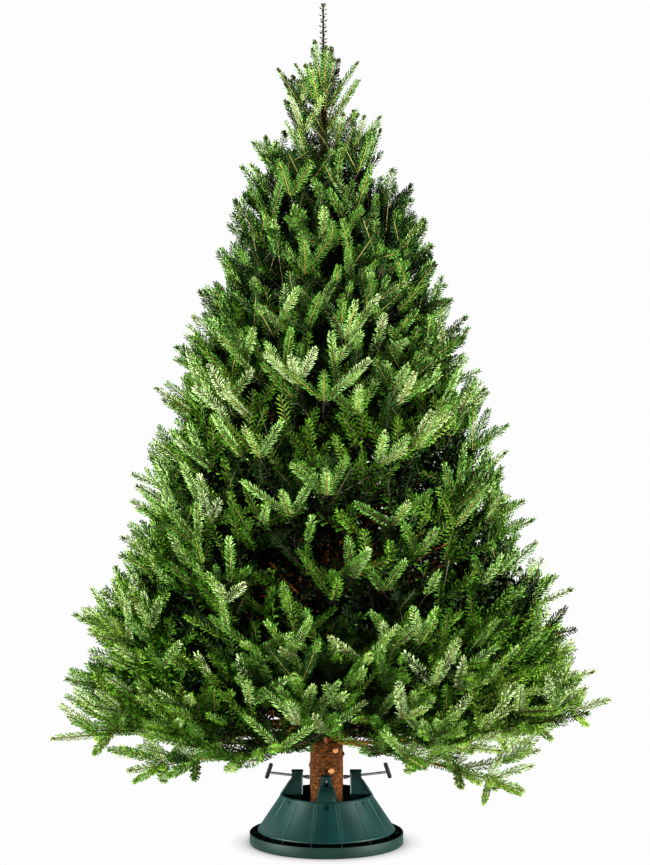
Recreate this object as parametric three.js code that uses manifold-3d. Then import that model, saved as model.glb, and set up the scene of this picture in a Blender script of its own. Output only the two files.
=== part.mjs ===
// A cut fir, sold as a Christmas tree, in a moulded plastic screw stand.
// Millimetres, +Z up. The origin is the centre of the stand's flat underside; -Y is the front.
// Trunk, boughs and foliage are plain solids of the tree's true size, with the foliage in tiers
// of uneven masses that fit round the trunk. Heights are measured from the floor.

import * as THREE from 'three';
import { mergeVertices } from 'three/addons/utils/BufferGeometryUtils.js';
import Module from 'manifold-3d';

const wasm = await Module();
wasm.setup();

const tree = new THREE.Group();
const degrees = Math.PI / 180;
const clearance = 0.3; // left between two pieces that touch
const overlap = 1; // how far two shapes reach into each other where they are joined

// ---------------------------------------------------------------- driving dimensions

// stand
const trayRadius = 209;
const trayHeight = 30;
const trayWall = 4;
const trayEase = 3; // the bevel round its foot
const floorTop = 5;
const bossRadius = 60; // the raised pad under the trunk
const bossTop = 12;
const ribThickness = 2.6;
const ribTop = 28;
const legDepth = 11; // the shell stands on thin legs behind its edge, in line with the tray's ribs
const edgeRadius = 187; // the lower edge of the shell
const edgeHeight = 35;
const edgeThickness = 3;
const rimRadius = 122;
const rimHeight = 135;
const shellWall = 4.5;
const panelCount = 14; // moulded panels round the shell, with a tray rib at each joint
const uprightCount = 4;
const uprightInner = 64;
const uprightOuter = 94;
const uprightTop = 197;
const uprightHalfWidths = [
  [0, 20],
  [rimHeight, 20],
  [rimHeight + 0.1, 27],
  [162, 19.5],
  [178, 15],
  [uprightTop + 1, 14],
]; // [height, half width]

// clamping screws
const screwRadius = 3.8;
const screwHoleRadius = 4.4;
const screwTipFace = 3.4;
const screwTipRadius = 5.2; // the swelling behind the tip, from the first to the second place
const screwTipPlaces = [2.5, 9, 12];
const roundSides = 12; // flats round a screw, its hole and its handle
const screwTipHeight = 178.5;
const screwRise = 6.5 * degrees; // the screws climb outwards
const handleDistances = { right: 168, back: 160, left: 158 }; // from the trunk's centre
const handleOffset = 4.5; // each screw enters its handle this far below the middle
const handleLength = 44;
const handleRadius = 5.6;
const handleEndRadius = 3.2;
const handleEase = 3;
const handleLean = 19 * degrees; // the top of each handle leans in
const studInset = 6; // the front screw ends this far inside its upright's face

// trunk: [height, radius], straight between these rings
const trunkRings = [
  [bossTop + clearance, 48.5],
  [140, 46.5],
  [300, 43.1],
  [2036, 6.5],
  [2062, 3.6],
  [2262, 2.2],
];
const trunkSides = 16;
const leanStart = 300; // the trunk is upright up to here
const leanAtTop = -9; // sideways drift of the tip

// crown
const crownOutline = [
  [250, 650],
  [350, 768],
  [600, 722],
  [1220, 472],
  [1725, 280],
  [2154, 60],
  [2168, 30],
]; // [height, reach of the furthest tips]
const outlineTrial = 300; // a first reach to try when a tier is fitted to the outline
const outlineTrials = 40;
const bareReach = 190; // how far from the trunk the lowest boughs are bare

// lowest boughs
const boughRadius = 8;
const boughTaper = 0.72;
const boughFootLift = 12; // from the underside of the crown up to the middle of a bough
const boughBow = 10; // how much more a bough climbs than the underside below it
const boughSteps = 4;
const boughSides = 8;

// foliage masses
const tipSpread = 0.03; // how far some tips stay short of the furthest ones
const valleyDepth = [0.091, 0.169]; // how far the crown falls back between two tips
const tipSlice = { lowShare: 0.86, highShare: 0.88, sag: 3 };
const valleySlice = { lowShare: 0.95, highShare: 0.96, sag: 14 };
const sagRange = [0.5, 1.5];
const tipPlaces = [0.35, 0.85]; // where a tip lies between its tier's underside and top
const lowestTipPlaces = [0.04, 0.54];
const underStations = [[0, 0], [0.4, 1], [0.75, 0.6], [1, 0.4]]; // [share of reach, of sag]
const topStations = [[1, 0.4], [0.6, 1], [0, 0]];
const tierMargin = 4; // half the gap between one tier and the next
const trunkGap = 0.5;

// A tier lies between its own underside and the next one's. Each underside is a wavy cone that
// leaves the trunk at `height` and climbs outwards by about `rise` degrees.
const tiers = [
  { name: 'skirt', height: 266, rise: 2.5, sectors: 8, columns: 7, gap: 8 },
  { name: 'low', height: 415, rise: 13, sectors: 6, columns: 9, gap: 8 },
  { name: 'lower_middle', height: 610, rise: 20, sectors: 5, columns: 9, gap: 8 },
  { name: 'middle', height: 830, rise: 26, sectors: 4, columns: 9, gap: 7 },
  { name: 'upper_middle', height: 1070, rise: 31, sectors: 4, columns: 9, gap: 6 },
  { name: 'upper', height: 1310, rise: 37, sectors: 3, columns: 9, gap: 5 },
  { name: 'high', height: 1550, rise: 43, sectors: 2, columns: 11, gap: 4 },
  { name: 'higher', height: 1780, rise: 51, sectors: 2, columns: 9, gap: 3 },
  { name: 'crest', height: 1960, rise: 62, sectors: 2, columns: 9, gap: 1.6 },
  { name: 'top', height: 2034, rise: 72 },
]; // the last entry only closes the crest
const riseWave = 3; // degrees by which an underside's rise swings round the tree
const frontLift = 7.5; // degrees added to the lowest underside at the front, where it is trimmed
const tierTurn = 50 * degrees; // each tier's seams are turned on from those below

// ---------------------------------------------------------------- finishes

const finishes = {
  bark: { color: '#6a4a2b', roughness: 0.92, metalness: 0 },
  foliage: { color: '#476622', roughness: 0.8, metalness: 0 },
  greenPlastic: { color: '#2b504a', roughness: 0.42, metalness: 0 },
  blackPlastic: { color: '#191b1b', roughness: 0.5, metalness: 0 },
  zincSteel: { color: '#b4b6b8', roughness: 0.32, metalness: 1 },
};
const foliageShades = [0.8, 1.2]; // the masses differ a little, so that each can be told apart

function finish(name, shade = 1) {
  const material = new THREE.MeshStandardMaterial(finishes[name]);
  material.color.multiplyScalar(shade);
  return material;
}

function addPiece(parent, name, geometry, material) {
  const piece = new THREE.Mesh(geometry, material);
  piece.name = name;
  parent.add(piece);
  return piece;
}

// ---------------------------------------------------------------- shapes

// A solid turned about Z from a closed half section of [radius, height] points.
function turned(section, sides) {
  const points = section.map(([radius, height]) => new THREE.Vector2(radius, height));
  const geometry = new THREE.LatheGeometry(points, sides);
  geometry.rotateX(Math.PI / 2);
  return geometry;
}

function ring(section) {
  return [...section, section[0]];
}

// A triangle list for the flat end of a loft, wound the way its outline runs.
function endFaces(outline) {
  const faces = THREE.ShapeUtils.triangulateShape(outline, []);
  const corners = (face) => face.map((corner) => outline[corner]);
  const area = faces.reduce((sum, face) => sum + THREE.ShapeUtils.area(corners(face)), 0);
  const sameWay = area * THREE.ShapeUtils.area(outline) > 0;
  return sameWay ? faces : faces.map(([a, b, c]) => [a, c, b]);
}

// A closed solid through a row of rings. Each ring is a list of points, and `flatten` turns a
// point of the first or last ring into the 2-D point used to close that end.
function loft(rings, flatten) {
  const size = rings[0].length;
  const faces = [];
  for (let row = 0; row + 1 < rings.length; row += 1) {
    for (let k = 0; k < size; k += 1) {
      const a = row * size + k;
      const b = row * size + ((k + 1) % size);
      faces.push([a, b, b + size], [a, b + size, a + size]);
    }
  }
  const last = (rings.length - 1) * size;
  endFaces(rings[0].map(flatten)).forEach(([a, b, c]) => faces.push([a, c, b]));
  endFaces(rings[rings.length - 1].map(flatten)).forEach(([a, b, c]) => {
    faces.push([a + last, b + last, c + last]);
  });
  const points = rings.flat();
  const volume = faces.reduce((sum, [a, b, c]) => {
    const normal = new THREE.Vector3().crossVectors(points[b], points[c]);
    return sum + points[a].dot(normal);
  }, 0);
  const outward = volume > 0 ? faces : faces.map(([a, b, c]) => [a, c, b]);
  const geometry = new THREE.BufferGeometry();
  geometry.setFromPoints(points);
  geometry.setIndex(outward.flat());
  return geometry;
}

function solidOf(geometry) {
  const bare = geometry.clone();
  bare.deleteAttribute('normal');
  bare.deleteAttribute('uv');
  const merged = mergeVertices(bare, 1e-3);
  return new wasm.Manifold(
    new wasm.Mesh({
      numProp: 3,
      vertProperties: new Float32Array(merged.attributes.position.array),
      triVerts: new Uint32Array(merged.index.array),
    }),
  );
}

function geometryOf(solid) {
  const mesh = solid.getMesh();
  const geometry = new THREE.BufferGeometry();
  geometry.setAttribute('position', new THREE.BufferAttribute(mesh.vertProperties, 3));
  geometry.setIndex(new THREE.BufferAttribute(mesh.triVerts, 1));
  return geometry;
}

// The value at `place` on straight lines between [place, value] stations.
function between(stations, place) {
  const next = stations.findIndex(([station]) => station >= place);
  if (next === 0) return stations[0][1];
  if (next < 0) return stations[stations.length - 1][1];
  const [from, start] = stations[next - 1];
  const [to, end] = stations[next];
  return start + ((end - start) * (place - from)) / (to - from);
}

// A repeatable number in a range for each whole number, to make the masses uneven.
function uneven(index, [low, high] = [0, 1]) {
  const wave = Math.sin(index * 12.9898 + 4.1414) * 43758.5453;
  return low + (high - low) * (wave - Math.floor(wave));
}

// ---------------------------------------------------------------- stand: tray and shell

const standSides = panelCount * 3;
const trayInner = trayRadius - trayWall;
const traySection = [
  [0, 0],
  [trayRadius - trayEase, 0],
  [trayRadius, trayEase],
  [trayRadius, trayHeight],
  [trayInner, trayHeight],
  [trayInner, floorTop],
  [bossRadius, floorTop],
  [bossRadius, bossTop],
  [0, bossTop],
];

// Adds a thin upright bar at every joint between two panels, between two radii and two heights.
function withBars(solid, inner, outer, foot, top) {
  let joined = solid;
  for (let joint = 0; joint < panelCount; joint += 1) {
    const bar = new THREE.BoxGeometry(outer - inner, ribThickness, top - foot);
    bar.translate((outer + inner) / 2, 0, (top + foot) / 2);
    bar.rotateZ(-90 * degrees + ((joint + 0.5) * 2 * Math.PI) / panelCount);
    joined = joined.add(solidOf(bar));
  }
  return joined;
}

const ribInner = edgeRadius + clearance;
const ribOuter = trayInner + trayWall / 2;
const plainTray = solidOf(turned(traySection, standSides));
const tray = withBars(plainTray, ribInner, ribOuter, floorTop - overlap, ribTop);
addPiece(tree, 'stand_tray', geometryOf(tray), finish('greenPlastic'));

const edgeTop = edgeHeight + edgeThickness;
const coneSlope = (edgeRadius - rimRadius) / (rimHeight - edgeTop);
const shellSection = ring([
  [edgeRadius - shellWall, edgeHeight],
  [edgeRadius, edgeHeight],
  [edgeRadius, edgeTop],
  [rimRadius, rimHeight],
  [rimRadius - shellWall, rimHeight],
  [edgeRadius - shellWall, edgeTop],
]);
const standFoot = floorTop + clearance;
const legOuter = edgeRadius - overlap; // just inside the shell's faces
const plainShell = solidOf(turned(shellSection, standSides));
const legTop = edgeHeight + overlap;
const shell = withBars(plainShell, legOuter - legDepth, legOuter, standFoot, legTop);
addPiece(tree, 'stand_shell', geometryOf(shell), finish('greenPlastic'));

// ---------------------------------------------------------------- stand: uprights and screws

// An upright stands on the tray's floor inside the shell. Above the rim it widens to a foot that
// lies on the rim, with its outer face in line with the cone.
const shoulderHeight = rimHeight + (rimRadius - uprightOuter) / coneSlope;
const uprightSection = ring([
  [uprightInner, standFoot],
  [uprightOuter, standFoot],
  [uprightOuter, rimHeight + clearance],
  [rimRadius - clearance, rimHeight + clearance],
  [uprightOuter, shoulderHeight],
  [uprightOuter, uprightTop],
  [uprightInner, uprightTop],
]);

function uprightFront() {
  const outline = new THREE.Shape();
  uprightHalfWidths.forEach(([height, half], k) => {
    if (k === 0) outline.moveTo(half, height);
    else outline.lineTo(half, height);
  });
  [...uprightHalfWidths].reverse().forEach(([height, half]) => outline.lineTo(-half, height));
  const block = new THREE.ExtrudeGeometry(outline, { depth: rimRadius, bevelEnabled: false });
  block.rotateX(Math.PI / 2);
  block.rotateZ(Math.PI / 2);
  return block;
}

function trunkRadius(height) {
  return between(trunkRings, height);
}

// The trunk is a prism whose flats face the screws and the lowest boughs.
function trunkFlat(height) {
  return trunkRadius(height) * Math.cos(Math.PI / trunkSides);
}

const screwTip = new THREE.Vector3(
  trunkFlat(screwTipHeight - screwTipFace) + clearance + screwTipFace * Math.sin(screwRise),
  0,
  screwTipHeight,
);
const screwTurn = Math.PI / 2 - screwRise; // from standing up to lying outwards
const studLength = uprightOuter - studInset - screwTip.x;
const handleLine = new THREE.Vector3(-Math.sin(handleLean), 0, Math.cos(handleLean));

function screwLength(side) {
  const end = handleDistances[side] - handleRadius - 3 * clearance;
  return (end - screwTip.x) / Math.cos(screwRise);
}

function handleCentre(side) {
  const reach = handleDistances[side];
  const height = screwTip.z + (reach - screwTip.x) * Math.tan(screwRise);
  return new THREE.Vector3(reach, 0, height).addScaledVector(handleLine, handleOffset);
}

function screwShape(length) {
  const [swellStart, swellEnd, rodStart] = screwTipPlaces;
  return turned(
    [
      [0, 0],
      [screwTipFace, 0],
      [screwTipRadius, swellStart],
      [screwTipRadius, swellEnd],
      [screwRadius, rodStart],
      [screwRadius, length],
      [0, length],
    ],
    roundSides,
  );
}

function screwHole() {
  const length = 4 * uprightOuter;
  const hole = new THREE.CylinderGeometry(screwHoleRadius, screwHoleRadius, length, roundSides);
  hole.rotateX(Math.PI / 2);
  hole.rotateY(screwTurn);
  hole.translate(screwTip.x, 0, screwTip.z);
  return hole;
}

function uprightShape() {
  const column = solidOf(turned(uprightSection, standSides)).intersect(solidOf(uprightFront()));
  return geometryOf(column.subtract(solidOf(screwHole())));
}

function handleShape() {
  const half = handleLength / 2;
  return turned(
    [
      [0, -half],
      [handleEndRadius, -half],
      [handleRadius, handleEase - half],
      [handleRadius, half - handleEase],
      [handleEndRadius, half],
      [0, half],
    ],
    roundSides,
  );
}

const sides = ['right', 'back', 'left', 'front'];
for (let k = 0; k < uprightCount; k += 1) {
  const side = sides[k];
  const bracket = new THREE.Group();
  bracket.rotation.z = (k * 2 * Math.PI) / uprightCount;
  tree.add(bracket);
  addPiece(bracket, `stand_upright_${side}`, uprightShape(), finish('greenPlastic', 0.94));

  // The front screw is a headless stud that ends in the upright's slot.
  const headless = side === 'front';
  const length = headless ? studLength : screwLength(side);
  const screw = addPiece(bracket, `screw_${side}`, screwShape(length), finish('zincSteel'));
  screw.position.copy(screwTip);
  screw.rotation.y = screwTurn;
  if (headless) continue;
  const handle = addPiece(bracket, `handle_${side}`, handleShape(), finish('blackPlastic'));
  handle.position.copy(handleCentre(side));
  handle.rotation.y = -handleLean;
}

// ---------------------------------------------------------------- trunk

const treeHeight = trunkRings[trunkRings.length - 1][0];

// How far the trunk's centre has drifted sideways at a height.
function drift(height) {
  return (leanAtTop * Math.max(0, height - leanStart)) / (treeHeight - leanStart);
}

function trunkRing([height, radius]) {
  return Array.from({ length: trunkSides }, (_, k) => {
    const turn = ((k + 0.5) * 2 * Math.PI) / trunkSides;
    const x = drift(height) + radius * Math.cos(turn);
    return new THREE.Vector3(x, radius * Math.sin(turn), height);
  });
}

const trunkShape = loft(trunkRings.map(trunkRing), (point) => new THREE.Vector2(point.x, point.y));
addPiece(tree, 'trunk', trunkShape, finish('bark'));

// ---------------------------------------------------------------- lowest boughs

// The rise of a tier's underside at a turn round the trunk, as a slope.
function slopeAt(level, turn) {
  const wave = riseWave * Math.sin(3 * turn + 1.9 * level);
  const lift = level === 0 ? frontLift * Math.max(0, -Math.sin(turn)) ** 6 : 0;
  const swing = level === 0 ? 0.4 * wave : wave;
  return Math.tan((tiers[level].rise + swing + lift) * degrees);
}

// A bough leaves a flat of the trunk and ends at the inner face of its skirt mass. Its rings
// stand upright, so both ends lie flat against what they meet.
function boughShape(slope) {
  const startHeight = tiers[0].height + boughFootLift;
  const start = trunkFlat(startHeight - boughRadius) + clearance;
  const end = bareReach - clearance;
  const rings = Array.from({ length: boughSteps + 1 }, (_, step) => {
    const share = step / boughSteps;
    const radius = boughRadius * (1 + (boughTaper - 1) * share);
    const reach = start + (end - start) * share;
    const centre = startHeight + (reach - start) * slope + boughBow * share;
    return Array.from({ length: boughSides }, (__, k) => {
      const turn = (k * 2 * Math.PI) / boughSides;
      return new THREE.Vector3(reach, radius * Math.cos(turn), centre + radius * Math.sin(turn));
    });
  });
  return loft(rings, (point) => new THREE.Vector2(point.y, point.z));
}

// ---------------------------------------------------------------- foliage masses

// One tier boundary at one turn round the trunk, with the reach where it meets the outline.
function boundary(level, turn) {
  const slope = slopeAt(level, turn);
  const height = (reach) => tiers[level].height + reach * slope;
  let full = outlineTrial;
  for (let trial = 0; trial < outlineTrials; trial += 1) {
    full = (full + between(crownOutline, height(full))) / 2;
  }
  return { base: tiers[level].height, height, full };
}

// One radial slice of a mass, as [reach, height] points round it, from the inside of its
// underside out to the tip and back along the top. A slice is a tip or a valley.
function slice(level, turn, inner, isTip, seed) {
  const lower = boundary(level, turn);
  const upper = boundary(level + 1, turn);
  const { lowShare, highShare, sag: fullSag } = isTip ? tipSlice : valleySlice;
  const fall = isTip ? tipSpread * uneven(seed) : uneven(seed, valleyDepth);
  const lowerReach = lower.full * (lowShare - fall);
  const upperReach = upper.full * (highShare - fall);
  const share = uneven(seed + 1, level === 0 ? lowestTipPlaces : tipPlaces);
  const middleReach = lower.full + (upper.full - lower.full) * share;
  const low = lower.height(middleReach);
  const tipHeight = low + (upper.height(middleReach) - low) * share;
  const tipReach = between(crownOutline, tipHeight) * (1 - fall);
  const sag = fullSag * uneven(seed + 2, sagRange);
  const bottom = inner(lower.base);
  const top = inner(upper.base);
  return [
    ...underStations.map(([out, lift]) => {
      const reach = bottom + (lowerReach - bottom) * out;
      return [reach, lower.height(reach) + tierMargin + lift * sag];
    }),
    [tipReach, tipHeight],
    ...topStations.map(([out, dip]) => {
      const reach = top + (upperReach - top) * out;
      return [reach, upper.height(reach) - tierMargin - dip * sag];
    }),
  ];
}

function massShape(level, sector) {
  const tier = tiers[level];
  const width = (2 * Math.PI) / tier.sectors;
  const middle = sector * width + tierTurn * level;
  const rings = [];
  for (let column = 0; column < tier.columns; column += 1) {
    const share = column / (tier.columns - 1);
    const turn = middle + width * (share - 0.5);
    const isEnd = column === 0 || column === tier.columns - 1;
    const inset = isEnd ? (share < 0.5 ? tier.gap / 2 : -tier.gap / 2) : 0;
    const isTip = column % 2 === 1;
    const seed = level * 211 + sector * 37 + column * 5;
    const inner = (height) =>
      level === 0 ? bareReach / Math.cos(turn - middle) : trunkRadius(height) + trunkGap;
    rings.push(
      slice(level, turn, inner, isTip, seed).map(([reach, height]) => {
        const x = drift(height) + reach * Math.cos(turn) - inset * Math.sin(turn);
        const y = reach * Math.sin(turn) + inset * Math.cos(turn);
        return new THREE.Vector3(x, y, height);
      }),
    );
  }
  const flatten = (point) => {
    const side = point.y * Math.cos(middle) - point.x * Math.sin(middle);
    const turn = middle + (Math.sign(side) * width) / 2;
    return new THREE.Vector2(point.x * Math.cos(turn) + point.y * Math.sin(turn), point.z);
  };
  return loft(rings, flatten);
}

const foliageTiers = tiers.filter((tier) => tier.sectors);
foliageTiers.forEach((tier, level) => {
  for (let sector = 0; sector < tier.sectors; sector += 1) {
    const shade = uneven(level * 17 + sector * 3, foliageShades);
    const name = `foliage_${tier.name}_${sector + 1}`;
    addPiece(tree, name, massShape(level, sector), finish('foliage', shade));
    if (level > 0) continue;
    const turn = (sector * 2 * Math.PI) / tier.sectors;
    const bough = addPiece(
      tree,
      `bough_${sector + 1}`,
      boughShape(slopeAt(0, turn)),
      finish('bark'),
    );
    bough.rotation.z = turn;
  }
});

export default tree;
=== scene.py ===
"""A cut fir sold as a Christmas tree, standing in a moulded plastic screw stand.

Metres, +Z up, the front of the stand towards -Y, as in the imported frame. The file follows the way the
tree is set up: first the stand and its screws, then the stem, then the boughs that grow from it and
fork year by year, and last the needles and buds on every young shoot.
"""

import math

import bpy
import numpy as np
from mathutils import Matrix, Vector, noise


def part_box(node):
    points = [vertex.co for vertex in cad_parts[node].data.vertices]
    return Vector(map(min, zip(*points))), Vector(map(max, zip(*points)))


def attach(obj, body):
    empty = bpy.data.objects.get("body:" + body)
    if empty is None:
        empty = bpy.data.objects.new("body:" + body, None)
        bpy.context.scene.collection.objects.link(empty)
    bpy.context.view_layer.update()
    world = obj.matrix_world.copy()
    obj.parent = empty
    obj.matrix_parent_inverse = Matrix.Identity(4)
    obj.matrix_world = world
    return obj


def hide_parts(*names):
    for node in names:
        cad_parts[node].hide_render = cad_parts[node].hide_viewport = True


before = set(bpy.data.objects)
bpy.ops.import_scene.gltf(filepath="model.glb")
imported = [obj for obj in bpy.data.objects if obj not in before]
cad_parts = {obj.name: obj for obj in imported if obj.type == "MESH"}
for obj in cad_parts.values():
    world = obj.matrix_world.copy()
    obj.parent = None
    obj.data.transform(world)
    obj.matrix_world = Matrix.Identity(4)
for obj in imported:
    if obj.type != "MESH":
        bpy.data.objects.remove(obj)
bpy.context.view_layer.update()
mm = 0.001


# ---------------------------------------------------------------- camera, floor and light
# A white photo studio: a long lens a little above the middle of the tree, two tall soft lamps at the
# sides, two weaker ones behind and one in front, and a floor of white vinyl under a white backdrop.

lens_length = 101.9
sensor_size = 36.0
camera_place = (-4 * mm, -6.6, 1.459)
look_down = math.radians(2.97)
white_to_the_eye = 0.685  # how bright floor and backdrop are to the camera, just short of pure white
fill_light = 0.12  # how bright the backdrop is as a light from all round
painted_shadow_reach = 60 * mm  # the painted contact shadow darkens the floor this near to what stands on it

lens = bpy.data.cameras.new("camera")
lens.lens = lens_length
lens.sensor_width = sensor_size
camera = bpy.data.objects.new("camera", lens)
camera.location = camera_place
camera.rotation_euler = (math.pi / 2 - look_down, 0, 0)
bpy.context.scene.collection.objects.link(camera)
bpy.context.scene.camera = camera
bpy.context.scene.view_settings.view_transform = "Standard"
bpy.context.scene.view_settings.look = "High Contrast"


def linear(colour):
    """A colour written as sRGB hex, as the linear numbers that shaders take."""
    shares = [int(colour[k : k + 2], 16) / 255 for k in (1, 3, 5)]
    return (*(c / 12.92 if c <= 0.04045 else ((c + 0.055) / 1.055) ** 2.4 for c in shares), 1.0)


def add_node(tree, kind, settings=None, **inputs):
    """Adds a node with its settings. Inputs go by name, or by number as _0, and take a value or a link."""
    node = tree.nodes.new(kind)
    for name, value in (settings or {}).items():
        setattr(node, name, value)
    for name, value in inputs.items():
        key = int(name[1:]) if name[1:].isdigit() else name.replace("_", " ")
        if isinstance(value, bpy.types.NodeSocket):
            tree.links.new(value, node.inputs[key])
        else:
            node.inputs[key].default_value = value
    return node


def new_material(name, colour, roughness, **inputs):
    """A Principled material. Returns it with its node tree and its shader."""
    material = bpy.data.materials.new(name)
    material.use_nodes = True
    tree = material.node_tree
    tree.nodes.clear()
    shader = add_node(
        tree, "ShaderNodeBsdfPrincipled", Base_Color=linear(colour), Roughness=roughness, **inputs
    )
    add_node(tree, "ShaderNodeOutputMaterial", Surface=shader.outputs["BSDF"])
    return material, tree, shader


def white_floor_vinyl():
    """Matt vinyl. To the eye it is as white as the backdrop, and darker only where it meets the stand, in a
    painted contact shadow.
    """
    material, tree, shader = new_material("white_floor_vinyl", "#f4f4f4", 0.7)
    # Ambient occlusion darkens the white the eye sees near the stand: a painted contact shadow.
    painted_contact_shadow = add_node(tree, "ShaderNodeAmbientOcclusion", {"samples": 8}, Distance=painted_shadow_reach)
    white = add_node(
        tree, "ShaderNodeEmission", Color=painted_contact_shadow.outputs["Color"], Strength=white_to_the_eye
    )
    seen = add_node(tree, "ShaderNodeLightPath").outputs["Is Camera Ray"]
    both = add_node(tree, "ShaderNodeMixShader", _0=seen, _1=shader.outputs[0], _2=white.outputs[0])
    output = next(node for node in tree.nodes if node.type == "OUTPUT_MATERIAL")
    tree.links.new(both.outputs[0], output.inputs["Surface"])
    return material


floor_width = 400.0
bpy.ops.mesh.primitive_plane_add(size=floor_width)
floor = bpy.context.object
floor.name = "floor"
floor.data.materials.append(white_floor_vinyl())


def white_backdrop():
    """White to the eye, and a weaker white as the light that comes from all round."""
    world = bpy.data.worlds.new("white_backdrop")
    world.use_nodes = True
    tree = world.node_tree
    tree.nodes.clear()
    seen = add_node(tree, "ShaderNodeBackground", Color=(1, 1, 1, 1), Strength=white_to_the_eye)
    fill = add_node(tree, "ShaderNodeBackground", Color=(1, 1, 1, 1), Strength=fill_light)
    ray = add_node(tree, "ShaderNodeLightPath")
    both = add_node(
        tree, "ShaderNodeMixShader", _0=ray.outputs["Is Camera Ray"], _1=fill.outputs[0], _2=seen.outputs[0]
    )
    add_node(tree, "ShaderNodeOutputWorld", Surface=both.outputs[0])
    return world


bpy.context.scene.world = white_backdrop()

lamps_aim = Vector((0, 0, 0.6))
softboxes = {
    "softbox_left": ((-4.7, -2.0, 1.35), (1.6, 2.6), 800),
    "softbox_right": ((4.7, -2.0, 1.35), (1.6, 2.6), 790),
    "softbox_front": ((0.0, -6.6, 2.8), (2.0, 1.6), 80),
    "softbox_back_left": ((-3.4, 4.2, 3.3), (1.4, 1.8), 110),
    "softbox_back_right": ((3.4, 4.2, 3.3), (1.4, 1.8), 110),
}  # place, size, watts
for name, (place, size, watts) in softboxes.items():
    lamp = bpy.data.lights.new(name, "AREA")
    lamp.shape = "RECTANGLE"
    lamp.size, lamp.size_y = size
    lamp.energy = watts
    box = bpy.data.objects.new(name, lamp)
    box.location = place
    box.rotation_euler = (lamps_aim - Vector(place)).to_track_quat("-Z", "Y").to_euler()
    bpy.context.scene.collection.objects.link(box)


# ---------------------------------------------------------------- stand: tray
# A shallow round tray that catches spilt water and steadies the stand. It is injection moulded in dark
# green polypropylene, with thin stepped ribs inside its wall, on which the cone stands.

tray_steps = 180
tray_radius = 209 * mm
tray_height = 30 * mm
tray_inner = 205 * mm
tray_floor = 5 * mm
pad_radius = 60 * mm
pad_top = 12 * mm
panel_count = 14
edge_radius = 187 * mm  # the lower edge of the cone, which lies on the tray's ribs
edge_height = 35 * mm
rib_inner = 172 * mm
rib_thickness = 2.2 * mm
rib_top = 28 * mm


def select_only(*pieces):
    bpy.ops.object.select_all(action="DESELECT")
    for piece in pieces:
        piece.select_set(True)
    bpy.context.view_layer.objects.active = pieces[0]


def put_in_scene(name, mesh):
    """Makes a piece of a mesh."""
    piece = bpy.data.objects.new(name, mesh)
    bpy.context.scene.collection.objects.link(piece)
    return piece


def begin_edit(piece, mode="FACE"):
    """Opens one piece in edit mode with nothing on it selected."""
    select_only(piece)
    bpy.ops.object.mode_set(mode="EDIT")
    bpy.ops.mesh.select_mode(type=mode)
    bpy.ops.mesh.select_all(action="DESELECT")


def end_edit():
    bpy.ops.object.mode_set(mode="OBJECT")


def pick_faces(piece, wanted):
    """Selects the faces for which wanted(centre, normal) holds, and opens the piece in edit mode."""
    begin_edit(piece)
    end_edit()
    for face in piece.data.polygons:
        face.select = wanted(face.center, face.normal)
    bpy.ops.object.mode_set(mode="EDIT")


def spun(name, outline, steps):
    """A solid turned about Z from a half section of (radius, height) points."""
    mesh = bpy.data.meshes.new(name)
    points = [(radius, 0, height) for radius, height in outline]
    mesh.from_pydata(points, [(k, k + 1) for k in range(len(points) - 1)], [])
    piece = put_in_scene(name, mesh)
    begin_edit(piece)
    bpy.ops.mesh.select_all(action="SELECT")
    bpy.ops.mesh.spin(steps=steps, angle=2 * math.pi, center=(0, 0, 0), axis=(0, 0, 1))
    bpy.ops.mesh.select_all(action="SELECT")
    bpy.ops.mesh.remove_doubles(threshold=1e-5)
    bpy.ops.mesh.normals_make_consistent(inside=False)
    end_edit()
    return piece


def use_modifier(piece, kind, **settings):
    """Adds a modifier and applies it."""
    modifier = piece.modifiers.new(kind.lower(), kind)
    for name, value in settings.items():
        setattr(modifier, name, value)
    bpy.context.view_layer.objects.active = piece
    bpy.ops.object.modifier_apply(modifier=modifier.name)


def block(name, low, high, bevel=0.0):
    """A block between two corners, with its edges eased by `bevel`."""
    low, high = Vector(low), Vector(high)
    bpy.ops.object.select_all(action="DESELECT")
    bpy.ops.mesh.primitive_cube_add(size=1)
    piece = bpy.context.object
    piece.name = name
    piece.data.transform(Matrix.Translation((low + high) / 2) @ Matrix.Diagonal((*(high - low), 1)))
    if bevel:
        use_modifier(piece, "BEVEL", width=bevel, segments=2)
    return piece


def copied(piece, name, matrix):
    """A copy with a mesh of its own, moved by a matrix."""
    copy = put_in_scene(name, piece.data.copy())
    copy.data.transform(matrix)
    return copy


def joined(name, pieces):
    """One piece made of several."""
    select_only(*pieces)
    bpy.ops.object.join()
    pieces[0].name = name
    return pieces[0]


def removed(piece):
    bpy.data.objects.remove(piece)


def cut(piece, tool, operation="DIFFERENCE"):
    """Cuts a tool's shape out of a piece, or keeps only what they share. The tool goes away."""
    use_modifier(piece, "BOOLEAN", operation=operation, solver="EXACT", object=tool)
    removed(tool)


def smoothed(piece, degrees=32):
    select_only(piece)
    bpy.ops.object.shade_smooth_by_angle(angle=math.radians(degrees))


def seat(piece, materials, slot, *nodes):
    """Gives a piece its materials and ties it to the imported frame."""
    for material in materials:
        piece.data.materials.append(material)
    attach(piece, "root")
    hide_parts(*nodes)


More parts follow.
